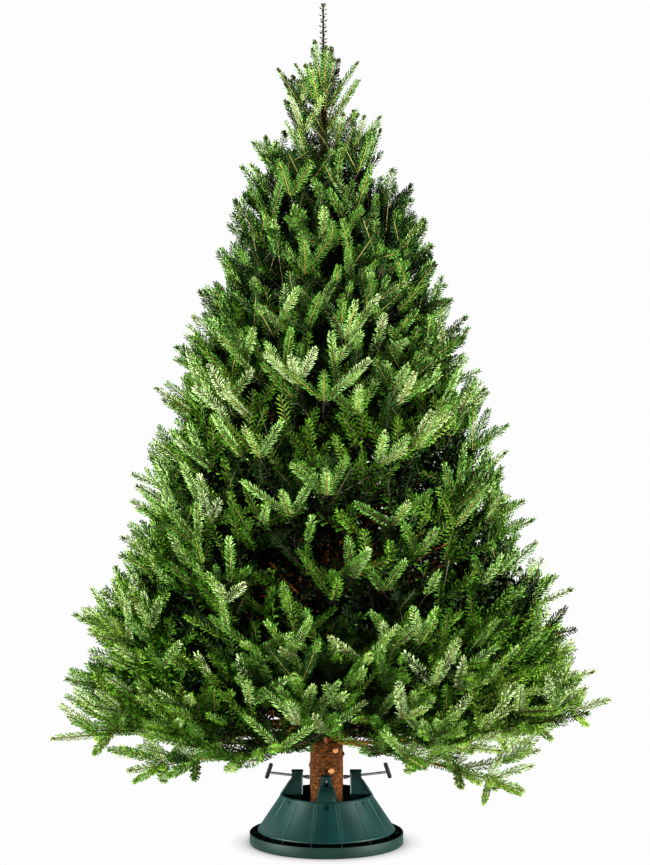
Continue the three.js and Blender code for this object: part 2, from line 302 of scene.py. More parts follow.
def green_polypropylene(name, dark, light, roughness, shine):
    """Injection moulded in a half-gloss tool: the eye sees a dark green with a faint mottle and, in the
    light, the very fine ripple of its skin, which is drawn coarser than life."""
    mottle_size = 62.5 * mm
    ripple_size = 1.11 * mm
    material, tree, shader = new_material(name, dark, roughness, Specular_IOR_Level=shine)
    place = add_node(tree, "ShaderNodeTexCoord").outputs["Object"]
    cloud = add_node(tree, "ShaderNodeTexNoise", Vector=place, Scale=1 / mottle_size, Detail=3)
    shade = add_node(tree, "ShaderNodeValToRGB", Fac=cloud.outputs[0])
    shade.color_ramp.elements[0].position = 0.3
    shade.color_ramp.elements[0].color = linear(dark)
    shade.color_ramp.elements[1].position = 0.7
    shade.color_ramp.elements[1].color = linear(light)
    tree.links.new(shade.outputs[0], shader.inputs["Base Color"])
    skin = add_node(tree, "ShaderNodeTexNoise", Vector=place, Scale=1 / ripple_size, Detail=2)
    bump = add_node(tree, "ShaderNodeBump", Strength=0.12, Distance=0.2 * mm, Height=skin.outputs[0])
    tree.links.new(bump.outputs[0], shader.inputs["Normal"])
    return material


# The tray takes a rougher and duller copy of the cone's plastic, whose darker green is painted shade.
shaded_tray_plastic = green_polypropylene("green_polypropylene_with_painted_shade", "#061d1a", "#08241f", 0.6, 0.22)

tray_outline = [
    (0, 0),
    (tray_radius - 3 * mm, 0),
    (tray_radius - 0.8 * mm, 0.9 * mm),
    (tray_radius, 3 * mm),
    (tray_radius, tray_height - 1.4 * mm),
    (tray_radius - 0.6 * mm, tray_height - 0.3 * mm),
    (tray_radius - 2 * mm, tray_height),
    (tray_inner + 0.6 * mm, tray_height - 0.3 * mm),
    (tray_inner, tray_height - 1.4 * mm),
    (tray_inner - 0.4 * mm, tray_floor + 2 * mm),
    (tray_inner - 2 * mm, tray_floor),
    (pad_radius + 1 * mm, tray_floor),
    (pad_radius, tray_floor + 1 * mm),
    (pad_radius, pad_top - 1 * mm),
    (pad_radius - 1 * mm, pad_top),
    (0, pad_top),
]
tray = spun("tray", tray_outline, tray_steps)
rib_low = (rib_inner, -rib_thickness / 2, tray_floor - 1 * mm)
rib_steps = [(tray_inner + 1 * mm, rib_top), (edge_radius - 0.5 * mm, edge_height - 0.3 * mm)]
blocks = [block("tray_rib", rib_low, (outer, rib_thickness / 2, top), 0.4 * mm) for outer, top in rib_steps]
rib = joined("tray_rib", blocks)
first_seam = -math.pi / 2 + math.pi / panel_count  # the front panel lies between two seams
seams = [first_seam + k * 2 * math.pi / panel_count for k in range(panel_count)]
ribs = [copied(rib, "tray_rib", Matrix.Rotation(seam, 4, "Z")) for seam in seams]
removed(rib)
tray = joined("tray", [tray, *ribs])
smoothed(tray)
seat(tray, [shaded_tray_plastic], "green_plastic", "stand_tray")


# ---------------------------------------------------------------- stand: cone
# The cone holds the uprights and hides the water. It is one polypropylene moulding of 14 shallow
# panels with raised seams, a band under the rim, four drain notches and a pair of slots.

edge_top = 38 * mm
rim_radius = 122 * mm
rim_height = 135 * mm
shell_wall = 4.5 * mm
band_height = 6 * mm
seam_width = 2.4 * mm
front_seam_width = 8 * mm
faces_per_panel = 6
panel_edge = 1.4 * mm  # the width of the slope from a seam down to its panel
panel_drop = 1.3 * mm
band_rise = 1.1 * mm


def seam_distance(point):
    """How far a point on the cone lies from the nearest seam, and whether that seam is a front one."""
    turn = math.atan2(point[1], point[0])
    gaps = [abs(math.remainder(turn - seam, 2 * math.pi)) for seam in seams]
    nearest = gaps.index(min(gaps))
    return min(gaps) * math.hypot(point[0], point[1]), nearest in (0, panel_count - 1)


def on_seam(point):
    gap, is_front = seam_distance(point)
    return gap < (front_seam_width if is_front else seam_width) * 0.6


def cone_radius(height):
    share = (height - edge_top) / (rim_height - edge_top)
    return edge_radius + (rim_radius - edge_radius) * share


def shell_mesh():
    bpy.ops.object.select_all(action="DESELECT")
    bpy.ops.mesh.primitive_cone_add(
        vertices=panel_count * faces_per_panel,
        radius1=edge_radius,
        radius2=rim_radius,
        depth=rim_height - edge_top,
        end_fill_type="NOTHING",
        location=(0, 0, (rim_height + edge_top) / 2),
    )
    shell = bpy.context.object
    shell.name = "cone"
    bpy.ops.object.transform_apply(location=True)
    # Each seam edge is opened to a strip, wider beside the front panel.
    for is_front, width in ((True, front_seam_width), (False, seam_width)):
        begin_edit(shell, "EDGE")
        end_edit()
        for edge in shell.data.edges:
            a, b = (shell.data.vertices[k].co for k in edge.vertices)
            gap, beside_front = seam_distance((a + b) / 2)
            edge.select = abs(a.z - b.z) > 50 * mm and gap < 1 * mm and beside_front == is_front
        bpy.ops.object.mode_set(mode="EDIT")
        bpy.ops.mesh.bevel(offset=width / 2, offset_type="OFFSET", segments=1, affect="EDGES")
        end_edit()
    for height in (rim_height - band_height, edge_top + 3 * mm):
        begin_edit(shell)
        bpy.ops.mesh.select_all(action="SELECT")
        bpy.ops.mesh.bisect(plane_co=(0, 0, height), plane_no=(0, 0, 1))
        end_edit()
    pick_faces(
        shell,
        lambda centre, normal: 3 * mm < centre.z - edge_top
        and centre.z < rim_height - band_height
        and not on_seam(centre),
    )
    bpy.ops.mesh.inset(thickness=panel_edge, depth=-panel_drop, use_even_offset=True)
    end_edit()
    pick_faces(shell, lambda centre, normal: centre.z > rim_height - band_height)
    bpy.ops.mesh.extrude_region_shrink_fatten(TRANSFORM_OT_shrink_fatten={"value": band_rise})
    end_edit()
    # The cone's lower edge goes straight down for its last few millimetres.
    begin_edit(shell, "EDGE")
    end_edit()
    for edge in shell.data.edges:
        edge.select = all(shell.data.vertices[k].co.z < edge_top + 0.1 * mm for k in edge.vertices)
    bpy.ops.object.mode_set(mode="EDIT")
    bpy.ops.mesh.extrude_region_move(TRANSFORM_OT_translate={"value": (0, 0, edge_height - edge_top)})
    bpy.ops.mesh.select_all(action="SELECT")
    bpy.ops.mesh.remove_doubles(threshold=1e-5)
    bpy.ops.mesh.normals_make_consistent(inside=False)
    end_edit()
    use_modifier(shell, "SOLIDIFY", thickness=shell_wall, offset=-1, use_even_offset=True)
    return shell


shell = shell_mesh()
green_plastic = green_polypropylene("green_polypropylene", "#04221f", "#062d29", 0.48, 0.32)

notch_turns = [k * 2 * math.tau / panel_count for k in (-2, -1, 1, 2)]
notch_half_width = 2.6 * mm
corner_reach = 1.155  # how far out a triangle's corners lie, against half the length of a side
notch_drop = 10 * mm
notch_top = rim_height - band_height - 1 * mm
front_slots = (-3.4 * mm, 3.4 * mm)
front_slot_half_width = 1.5 * mm
front_slot_low = 114 * mm
cutters = []
for notch_turn in notch_turns:
    bpy.ops.object.select_all(action="DESELECT")
    bpy.ops.mesh.primitive_cylinder_add(vertices=3, radius=1, depth=1, rotation=(-math.pi / 2, 0, 0))
    bpy.ops.object.transform_apply(rotation=True)
    notch = bpy.context.object
    middle = notch_top - notch_drop / 3
    size = Matrix.Diagonal((notch_half_width * corner_reach, 20 * mm, notch_drop / 1.5, 1))
    place = Matrix.Translation((0, -cone_radius(middle), middle))
    notch.data.transform(Matrix.Rotation(notch_turn, 4, "Z") @ place @ size)
    cutters.append(notch)
for slot_x in front_slots:
    slot_from = (slot_x - front_slot_half_width, -160 * mm, front_slot_low)
    cutters.append(block("slot", slot_from, (slot_x + front_slot_half_width, -100 * mm, notch_top)))
cut(shell, joined("cutter", cutters))
use_modifier(shell, "BEVEL", width=0.5 * mm, segments=2, limit_method="ANGLE", angle_limit=math.radians(30))
smoothed(shell, 24)
seat(shell, [green_plastic], "green_plastic", "stand_shell")


# ---------------------------------------------------------------- stand: uprights
# Four hollow posts moulded with the stand carry the screws. Each has a face plate that lies in line
# with the cone, ribbed sides, a cap, and a tall slot in which the screw's nut slides.

upright_inner = 64 * mm
upright_outer = 94 * mm
upright_top = 197 * mm
upright_foot = tray_floor + 0.3 * mm
upright_turns = {"right": 0, "back": 90, "left": 180, "front": 270}  # degrees round the stand
slot_half_width = 6.2 * mm
slot_low = 166 * mm
slot_high = 190 * mm
cap_thickness = 2.4 * mm
shelf = rim_height + 0.3 * mm  # from the cone's rim up, the post sweeps in to its upper width
face_half_widths = [
    (upright_foot, 20),
    (shelf, 20),
    (shelf + 0.1 * mm, 27),
    (162 * mm, 19),
    (176 * mm, 15),
    (upright_top, 14),
]  # height, and millimetres to each side
side_rib_places = (71, 78, 85)  # millimetres out from the stand's middle
side_rib_rows = ((140, 160, 17.5), (164, 192, 13.6))  # from and to which height, and half width


def prism(name, outline, depth, frame_matrix):
    """A block with the outline's (across, up) points, `depth` thick, put in place by a matrix."""
    mesh = bpy.data.meshes.new(name)
    mesh.from_pydata([(x, 0, z) for x, z in outline], [], [list(range(len(outline)))])
    piece = put_in_scene(name, mesh)
    begin_edit(piece)
    bpy.ops.mesh.select_all(action="SELECT")
    bpy.ops.mesh.extrude_region_move(TRANSFORM_OT_translate={"value": (0, depth, 0)})
    bpy.ops.mesh.select_all(action="SELECT")
    bpy.ops.mesh.normals_make_consistent(inside=False)
    end_edit()
    piece.data.transform(frame_matrix)
    return piece


def upright_mesh():
    reach = rim_radius - 0.3 * mm
    fillet = [
        (upright_outer + 14 * mm * (1 - math.sin(t)) ** 2, shelf + 26 * mm + 20 * mm * math.sin(t))
        for t in np.linspace(0.25, math.pi / 2, 7)
    ]
    side_outline = [
        (upright_inner, upright_foot),
        (upright_outer, upright_foot),
        (upright_outer, shelf),
        (reach, shelf),
        *fillet,
        (upright_outer, upright_top - cap_thickness),
        (upright_inner, upright_top - cap_thickness),
    ]
    face_outline = [(w * mm, z) for z, w in face_half_widths]
    face_outline += [(-w * mm, z) for z, w in face_half_widths[::-1]]
    upright = prism("upright", side_outline, 80 * mm, Matrix.Translation((0, -40 * mm, 0)))
    face = prism("face", face_outline, 0.2, Matrix.Rotation(-math.pi / 2, 4, "Z"))
    cut(upright, face, "INTERSECT")
    pick_faces(upright, lambda centre, normal: abs(normal.y) > 0.6 and centre.z > rim_height)
    bpy.ops.mesh.inset(thickness=3 * mm, depth=-2.4 * mm)
    end_edit()
    slot = prism(
        "slot",
        [
            (
                slot_half_width * math.cos(t),
                (slot_high - slot_half_width if math.sin(t) > 0 else slot_low + slot_half_width)
                + slot_half_width * math.sin(t),
            )
            for t in np.linspace(0.01, 2 * math.pi - 0.01, 25)
        ],
        20 * mm,
        Matrix.Translation((upright_outer - 16 * mm, 0, 0)) @ Matrix.Rotation(-math.pi / 2, 4, "Z"),
    )
    cut(upright, slot)
    details = []
    for place in side_rib_places:
        for low, high, half in side_rib_rows:
            rib_from = ((place - 0.8) * mm, -half * mm, low * mm)
            details.append(block("side_rib", rib_from, ((place + 0.8) * mm, half * mm, high * mm)))
    cap_low = (upright_inner - 0.5 * mm, -15 * mm, upright_top - cap_thickness)
    cap_high = (upright_outer + 1 * mm, 15 * mm, upright_top)
    details.append(block("cap", cap_low, cap_high, 0.6 * mm))
    upright = joined("upright", [upright, *details])
    use_modifier(upright, "BEVEL", width=0.4 * mm, segments=2, limit_method="ANGLE", angle_limit=0.6)
    smoothed(upright)
    return upright


upright = upright_mesh()
for side, turn in upright_turns.items():
    post = copied(upright, f"upright_{side}", Matrix.Rotation(math.radians(turn), 4, "Z"))
    seat(post, [green_plastic], "green_plastic", f"stand_upright_{side}")
removed(upright)


# ---------------------------------------------------------------- clamping screws and handles
# Zinc-plated steel rods with a rolled thread and a swelled tip that bites into the bark. Three end in
# a black nylon grip bar, and the front one is a headless stud that stops inside its slot.

screw_rise = math.radians(6.5)
screw_radius = 3.8 * mm
core_radius = 3.2 * mm
thread_pitch = 2.2 * mm  # coarser than the real 1.25 mm, so that it shows
tip_height = 178.5 * mm
handle_lean = math.radians(19)
handle_half = 22 * mm
handle_radius = 5.6 * mm


def screw_mesh(length):
    """A rod along +Z from its tip at the origin."""
    core = spun(
        "core",
        [
            (0, 0),
            (3.2 * mm, 0),
            (4.8 * mm, 1.6 * mm),
            (5.2 * mm, 3.4 * mm),
            (5.2 * mm, 8.4 * mm),
            (4.4 * mm, 10.4 * mm),
            (core_radius, 12 * mm),
            (core_radius, length),
            (0, length),
        ],
        20,
    )
    turns = int((length - 14 * mm) / thread_pitch)
    mesh = bpy.data.meshes.new("thread")
    root = core_radius - 0.3 * mm
    flank = [(root, 0.0), (screw_radius, 0.4), (screw_radius, 0.55), (root, 0.95)]
    points = [(radius, 0, 12 * mm + share * thread_pitch) for radius, share in flank]
    mesh.from_pydata(points, [(0, 1), (1, 2), (2, 3)], [])
    thread = put_in_scene("thread", mesh)
    use_modifier(
        thread, "SCREW", angle=2 * math.pi, screw_offset=thread_pitch, iterations=turns, steps=14,
        render_steps=14, use_normal_calculate=True,
    )
    rod = joined("screw", [core, thread])
    smoothed(rod, 40)
    return rod


def handle_mesh():
    """A grip bar along Z with rounded ends and moulded rings, centred on the origin."""
    outline = [(0, -handle_half), (2.6 * mm, -handle_half), (4.6 * mm, -handle_half + 1 * mm)]
    ring_count = 7
    end_length = 2.6 * mm
    for k in range(ring_count):
        low = -handle_half + end_length + k * (2 * handle_half - 2 * end_length) / ring_count
        high = low + (2 * handle_half - 2 * end_length) / ring_count
        outline += [(handle_radius, low + 0.4 * mm), (handle_radius, high - 1.3 * mm)]
        outline += [(handle_radius - 0.7 * mm, high - 0.8 * mm), (handle_radius - 0.7 * mm, high - 0.1 * mm)]
    outline[-2:] = []
    outline += [(4.6 * mm, handle_half - 1 * mm), (2.6 * mm, handle_half), (0, handle_half)]
    return spun("handle", outline, 24)


def zinc_plated_steel():
    """Bright zinc over rolled steel: a cold grey metal that shines unevenly, in small patches."""
    patch_size = 3.85 * mm
    material, tree, shader = new_material("zinc_plated_steel", "#8f9395", 0.3, Metallic=1.0)
    place = add_node(tree, "ShaderNodeTexCoord").outputs["Object"]
    patches = add_node(tree, "ShaderNodeTexNoise", Vector=place, Scale=1 / patch_size, Detail=3)
    rough = add_node(tree, "ShaderNodeMapRange", Value=patches.outputs[0], To_Min=0.2, To_Max=0.42)
    tree.links.new(rough.outputs[0], shader.inputs["Roughness"])
    return material


def black_nylon():
    """Moulded glass-filled nylon: black and dull, with a fine grain that catches the light."""
    grain_size = 0.7 * mm
    material, tree, shader = new_material("black_nylon", "#0d0f10", 0.6, Specular_IOR_Level=0.35)
    place = add_node(tree, "ShaderNodeTexCoord").outputs["Object"]
    grain = add_node(tree, "ShaderNodeTexNoise", Vector=place, Scale=1 / grain_size, Detail=2)
    bump = add_node(tree, "ShaderNodeBump", Strength=0.2, Distance=0.2 * mm, Height=grain.outputs[0])
    tree.links.new(bump.outputs[0], shader.inputs["Normal"])
    return material


zinc, nylon = zinc_plated_steel(), black_nylon()
tip_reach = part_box("screw_right")[0].x
for side, turn in upright_turns.items():
    around = Matrix.Rotation(math.radians(turn), 4, "Z")
    headless = side == "front"
    if headless:
        end_reach = upright_outer - 6 * mm
    else:
        low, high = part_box(f"handle_{side}")
        centre = around.inverted() @ ((low + high) / 2)
        end_reach = centre.x - 2 * mm
    rod = screw_mesh((end_reach - tip_reach) / math.cos(screw_rise))
    tip = Matrix.Translation((tip_reach + 0.4 * mm, 0, tip_height))
    rod.data.transform(around @ tip @ Matrix.Rotation(math.pi / 2 - screw_rise, 4, "Y"))
    rod.name = f"rod_{side}"
    seat(rod, [zinc], "zinc_steel", f"screw_{side}")
    if headless:
        continue
    grip = handle_mesh()
    grip.data.transform(around @ Matrix.Translation(centre) @ Matrix.Rotation(-handle_lean, 4, "Y"))
    grip.name = f"grip_{side}"
    smoothed(grip)
    seat(grip, [nylon], "black_plastic", f"handle_{side}")


# ---------------------------------------------------------------- stem
# The stem of a young fir, sawn flat at the foot and upright through the stand. Its bark is thin and
# rough, with swellings under the boughs. Two boughs at the front were sawn off close to the stem.

stem_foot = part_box("trunk")[0].z
tree_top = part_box("trunk")[1].z
straight_height = 300 * mm  # the stem is upright up to here
top_drift = -9 * mm
stem_heights = np.array([stem_foot, 0.140, straight_height, 2.036, 2.062, tree_top])
stem_radii = np.array([48.5, 46.5, 43.1, 6.5, 3.6, 2.2]) * mm
stem_sides = 88
lowest_whorl = 8
whorl_height = 278 * mm
knots = [(k * math.tau / lowest_whorl, whorl_height, 4.5 * mm, 15 * mm) for k in range(lowest_whorl)]
knots += [(math.pi, 0.212, 4 * mm, 7 * mm), (-0.1, 0.243, 7 * mm, 6 * mm), (-0.4, 0.19, 3 * mm, 8 * mm)]
stubs = [(math.radians(-58.7), 0.258, 7.6 * mm), (math.radians(-74.4), 0.2037, 8.2 * mm)]
knots += [(turn, height, 3 * mm, 11 * mm) for turn, height, _ in stubs]  # turn, height, rise, width


def stem_drift(height):
    return top_drift * np.maximum(0, height - straight_height) / (tree_top - straight_height)


def stem_radius(height):
    return np.interp(height, stem_heights, stem_radii)


def new_piece(name, points, face_groups, material_numbers=None, smooth=False):
    """A mesh piece from arrays: points (n, 3) and groups of faces, each group (m, corners)."""
    mesh = bpy.data.meshes.new(name)
    points = np.asarray(points, np.float32).reshape(-1, 3)
    groups = [np.asarray(group, np.int32) for group in face_groups]
    corners = np.concatenate([group.ravel() for group in groups])
    sizes = np.concatenate([np.full(len(group), group.shape[1]) for group in groups])
    mesh.vertices.add(len(points))
    mesh.vertices.foreach_set("co", points.ravel())
    mesh.loops.add(len(corners))
    mesh.loops.foreach_set("vertex_index", corners)
    mesh.polygons.add(len(sizes))
    mesh.polygons.foreach_set("loop_start", np.cumsum(sizes) - sizes)
    mesh.polygons.foreach_set("use_smooth", np.full(len(sizes), smooth))
    if material_numbers is not None:
        mesh.polygons.foreach_set("material_index", np.asarray(material_numbers, np.int32))
    mesh.update(calc_edges=True)
    return put_in_scene(name, mesh)


def tube_faces(rows, sides, first=0):
    """Quads round a tube of `rows` rings, and the triangles that close its ends on two last points."""
    row, side = np.meshgrid(np.arange(rows - 1), np.arange(sides), indexing="ij")
    a = first + row * sides + side
    b = first + row * sides + (side + 1) % sides
    quads = np.stack([a, b, b + sides, a + sides], -1).reshape(-1, 4)
    k = np.arange(sides)
    low, top = first + rows * sides, first + (rows - 1) * sides
    foot = np.stack([first + (k + 1) % sides, first + k, np.full(sides, low)], 1)
    head = np.stack([top + k, top + (k + 1) % sides, np.full(sides, low + 1)], 1)
    return quads, np.concatenate([foot, head])


def bark_relief(turn, height):
    """How far the bark stands out: plates, thin cross lines, and a swelling at each knot."""
    across, along = math.cos(turn), math.sin(turn)
    plates = noise.fractal(Vector((across * 7.2, along * 7.2, height * 38)), 0.9, 2.1, 4)
    lines = noise.noise(Vector((across * 3.8 + 9, along * 3.8 + 4, height * 190)))
    relief = (1.3 * plates + 0.6 * lines) * mm
    for knot_turn, knot_height, rise, width in knots:
        side = math.remainder(turn - knot_turn, math.tau) * 45 * mm
        relief += rise * math.exp(-(side**2 + (height - knot_height) ** 2) / width**2)
    return relief


def stem_mesh():
    heights = np.concatenate(
        [np.arange(stem_foot, 0.34, 3.2 * mm), np.arange(0.34, 2.0, 16 * mm), np.linspace(2.0, tree_top, 26)]
    )
    points = []
    for height in heights:
        radius = stem_radius(height)
        share = min(1.0, radius / stem_radii[0])
        for turn in np.arange(stem_sides) * math.tau / stem_sides:
            out = radius + (bark_relief(turn, height) - 0.6 * mm) * share
            points.append((stem_drift(height) + out * math.cos(turn), out * math.sin(turn), height))
    points += [(0, 0, heights[0]), (top_drift, 0, heights[-1])]
    return new_piece("stem", points, tube_faces(len(heights), stem_sides), smooth=True)


def fir_bark(name, dark, middle, light, grain_size):
    """Thin rough bark: grey-brown plates with rust between them, and hardly any shine."""
    material, tree, shader = new_material(name, middle, 0.88, Specular_IOR_Level=0.2)
    place = add_node(tree, "ShaderNodeTexCoord").outputs["Object"]
    flat = add_node(tree, "ShaderNodeMapping", Vector=place, Scale=(1, 1, 2.2)).outputs[0]
    blotch = add_node(
        tree, "ShaderNodeTexNoise", Vector=flat, Scale=0.3 / grain_size, Detail=6, Roughness=0.7
    )
    shades = add_node(tree, "ShaderNodeValToRGB", Fac=blotch.outputs[0])
    shades.color_ramp.elements[0].position = 0.34
    shades.color_ramp.elements[0].color = linear(dark)
    shades.color_ramp.elements[1].position = 0.7
    shades.color_ramp.elements[1].color = linear(light)
    shades.color_ramp.elements.new(0.52).color = linear(middle)
    tree.links.new(shades.outputs[0], shader.inputs["Base Color"])
    grain = add_node(tree, "ShaderNodeTexNoise", Vector=place, Scale=2 / grain_size, Detail=4)
    bump = add_node(tree, "ShaderNodeBump", Strength=0.6, Distance=grain_size / 6, Height=grain.outputs[0])
    tree.links.new(bump.outputs[0], shader.inputs["Normal"])
    return material


def stem_bark():
    """The stem's bark, which turns to the smooth olive skin of the last two years towards the top."""
    material = fir_bark("stem_bark", "#1c1004", "#4c3015", "#7d5427", 4 * mm)
    tree = material.node_tree
    shader = next(node for node in tree.nodes if node.type == "BSDF_PRINCIPLED")
    old_bark = shader.inputs["Base Color"].links[0].from_socket
    place = add_node(tree, "ShaderNodeTexCoord").outputs["Object"]
    height = add_node(tree, "ShaderNodeSeparateXYZ", _0=place)
    share = add_node(tree, "ShaderNodeMapRange", Value=height.outputs["Z"], From_Min=1.8, From_Max=2.05)
    skin = add_node(
        tree, "ShaderNodeMix", {"data_type": "RGBA"}, _0=share.outputs[0], _6=old_bark, _7=linear("#25200b")
    )
    tree.links.new(skin.outputs[2], shader.inputs["Base Color"])
    return material


stem = stem_mesh()
seat(stem, [stem_bark()], "bark", "trunk")


def fresh_cut_wood():
    """Sawn fir: pale orange wood, damp and without shine, with darker flecks where its rings lie."""
    fleck_size = 2.38 * mm
    material, tree, shader = new_material("fresh_cut_wood", "#c08145", 0.7)
    place = add_node(tree, "ShaderNodeTexCoord").outputs["Object"]
    flecks = add_node(tree, "ShaderNodeTexNoise", Vector=place, Scale=1 / fleck_size, Detail=3)
    shades = add_node(tree, "ShaderNodeValToRGB", Fac=flecks.outputs[0])
    shades.color_ramp.elements[0].position = 0.35
    shades.color_ramp.elements[0].color = linear("#8f5f35")
    shades.color_ramp.elements[1].position = 0.6
    shades.color_ramp.elements[1].color = linear("#bd8d5c")
    tree.links.new(shades.outputs[0], shader.inputs["Base Color"])
    return material


cut_wood = fresh_cut_wood()
for number, (turn, height, radius) in enumerate(stubs):
    wide = radius / mm
    outline = [(0, -6), (wide, -6), (wide, 3.6), (wide - 0.8, 4.6), (wide * 0.5, 4.9), (0, 4.7)]
    stub = spun(f"sawn_stub_{number + 1}", [(r * mm, z * mm) for r, z in outline], 18)
    lean = Matrix.Rotation(math.pi / 2, 4, "Y") @ Matrix.Diagonal((0.86, 1, 1, 1))
    out = Matrix.Translation((stem_radius(height) + 1.2 * mm, 0, 0))
    stub.data.transform(Matrix.Translation((0, 0, height)) @ Matrix.Rotation(turn, 4, "Z") @ out @ lean)
    smoothed(stub, 40)
    seat(stub, [cut_wood], "bark", "trunk")


# ---------------------------------------------------------------- boughs and twigs
# A fir grows a whorl of boughs a year and odd ones between. Each bough lengthens by a shoot a year, and
# where a year ends it forks into two side shoots, nearly level, and often a third one that stands up.

chance = np.random.default_rng(2262)
outline_heights = [0.25, 0.35, 0.60, 0.90, 1.22, 1.72, 2.02, 2.154, 2.20]
outline_reaches = [0.66, 0.765, 0.715, 0.575, 0.470, 0.283, 0.130, 0.062, 0.03]
rise_heights = [0.30, 0.50, 0.70, 1.20, 1.70, 2.00]
base_rises = [1, 9, 19, 30, 38, 50]  # degrees
year_lengths = (112 * mm, 104 * mm, 92 * mm)  # a year's growth on a bough, a twig and a side twig
crown_floor = 0.30
underside_depth = 0.085  # how deep in the crown a point on its open underside counts as lying
side_share = 0.94  # side shoots stop short of the outline, so that each bough's tip stands free
fork_angle = 45  # degrees
fork_rise = 13  # degrees that the two side shoots of a fork rise
standing_rise = 44  # degrees that a third shoot rises
third_shoot_share = 0.6  # how often a fork has one
hanging_from = 0.28  # on the lowest whorl, shoots further to the side than this often hang down too
hanging_share = 0.6
hanging_rise = -50  # degrees
hanging_length = 50 * mm
missing_share = 0.08  # how often a side shoot of a twig is missing
sparse_depth = 0.13  # further inside the crown than this, side twigs fork no more
blunt_end = 0.95 * mm  # the radius that is left where a shoot has tapered off
shortest_limb = 60 * mm
up_axis = np.array([0.0, 0.0, 1.0])


def unit(vector):
    return vector / np.linalg.norm(vector)


def crown_reach(height):
    return float(np.interp(height, outline_heights, outline_reaches))


def crown_depth(point):
    """How far a point lies inside the crown, from its outline or from its open underside."""
    sideways = crown_reach(point[2]) - math.hypot(point[0] - stem_drift(point[2]), point[1])
    return min(sideways, underside_depth + max(0.0, point[2] - crown_floor))


shoots = []  # start, end, up, start radius, end radius, order, is a tip, bough number
bough_lines = []  # for each bough, the (place, radius) of its year ends
green_depths = []  # for each bough, how far back from its tip it still carries side shoots


def turned(heading, up, sideways, lift):
    """A heading turned sideways by an angle about `up`, and then lifted, both in radians."""
    side = np.cross(up, heading)
    level = heading * math.cos(sideways) + side * math.sin(sideways)
    return unit(level * math.cos(lift) + up * math.sin(lift))


def grow(start, heading, up, length, order, bough, thickness, bend=0.0):
    """Grows a limb year by year, with its side shoots."""
    years = max(1, round(length / year_lengths[min(order, 2)]))
    step = length / years
    for year in range(years):
        wander = chance.normal(0, math.radians(4 if order else 1.6), 2)
        heading = turned(heading, up, wander[0], wander[1] + bend / years)
        up = unit(up - heading * np.dot(up, heading))
        end = start + heading * step
        share = np.array([year, year + 1]) / years
        radii = thickness * (1 - 0.9 * share) + blunt_end
        is_tip = year == years - 1
        shoots.append((start, end, up, radii[0], radii[1], order, is_tip, bough))
        if order == 0:
            bough_lines[bough].append((end, radii[1]))
        left = length - (year + 1) * step
        deep = order == 2 and crown_depth(end) > sparse_depth
        if not is_tip and order < 3 and left < green_depths[bough] and not deep:
            for side in (-1, 1):
                grow_side_shoot(end, heading, up, left, side, order, bough, thickness)
            if order < 2 and chance.random() < third_shoot_share:
                grow_side_shoot(end, heading, up, left * 0.5, 0, order, bough, thickness)
        if not is_tip and order == 0 and bough < lowest_whorl and abs(end[0]) > hanging_from:
            for side in (-1, 1):
                if chance.random() < hanging_share:
                    grow_side_shoot(
                        end, heading, up, hanging_length, side, order, bough, thickness, hanging_rise
                    )
        start = end


def grow_side_shoot(fork, heading, up, left, side, order, bough, thickness, rise=fork_rise):
    """A side shoot to the left (1) or right (-1), or a standing one (0)."""
    if order > 0 and chance.random() < missing_share:
        return
    length = (left * 0.9 + 40 * mm) * chance.uniform(0.82, 1.1) * (1.0 if side else 0.7)
    angle = math.radians(chance.normal(fork_angle, 7)) * side
    lift = math.radians(chance.normal(rise if side else standing_rise, 10))
    way = turned(heading, up, angle, lift)
    tip = fork + way * length
    over = math.hypot(tip[0] - stem_drift(tip[2]), tip[1]) - crown_reach(tip[2]) * side_share
    if over > 0:
        length = max(shortest_limb, length - 1.2 * over)
    side_up = unit(up - way * np.dot(up, way))
    grow(fork, way, side_up, length, order + 1, bough, min(0.5 * thickness, length * 0.006), 0.25)


def grow_bough(turn, height, base_rise, tip_rise, reach_share, thickness, green_depth, length=0.0):
    """A bough from the stem out to the crown's outline, or of a set length, its rise in degrees."""
    base_rise, tip_rise = math.radians(base_rise), math.radians(tip_rise)
    out = np.array([math.cos(turn), math.sin(turn), 0.0])
    begin = stem_radius(height) * 0.7  # its foot is inside the stem
    rises = np.linspace(base_rise, tip_rise, 9)
    level, climb = np.cos(rises).mean(), np.sin(rises).mean()
    # Step by step the length settles at the one whose tip meets the crown's outline.
    for _ in range(0 if length else 30):
        reach = crown_reach(height + length * climb) * reach_share
        length = 0.5 * length + 0.5 * max(shortest_limb, (reach - begin) / level)
    start = np.array([stem_drift(height), 0, height]) + out * begin
    heading = out * math.cos(base_rise) + up_axis * math.sin(base_rise)
    up = unit(up_axis - heading * heading[2])
    bough_lines.append([(start, thickness + 0.7 * mm)])
    green_depths.append(green_depth)
    grow(start, heading, up, length, 0, len(bough_lines) - 1, thickness, tip_rise - base_rise)


# The lowest whorl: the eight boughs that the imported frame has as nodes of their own.
whorl_rises = [(-6, 24), (3, 14), (3, 13), (3, 14), (-5, 7), (3, 0), (19, 24), (4, -4)]  # foot, tip
for k, (base_rise, tip_rise) in enumerate(whorl_rises):
    reach_share = 0.98 + 0.02 * math.cos(2 * k)
    grow_bough(k * math.tau / lowest_whorl, whorl_height, base_rise, tip_rise, reach_share, 3.9 * mm, 0.52)

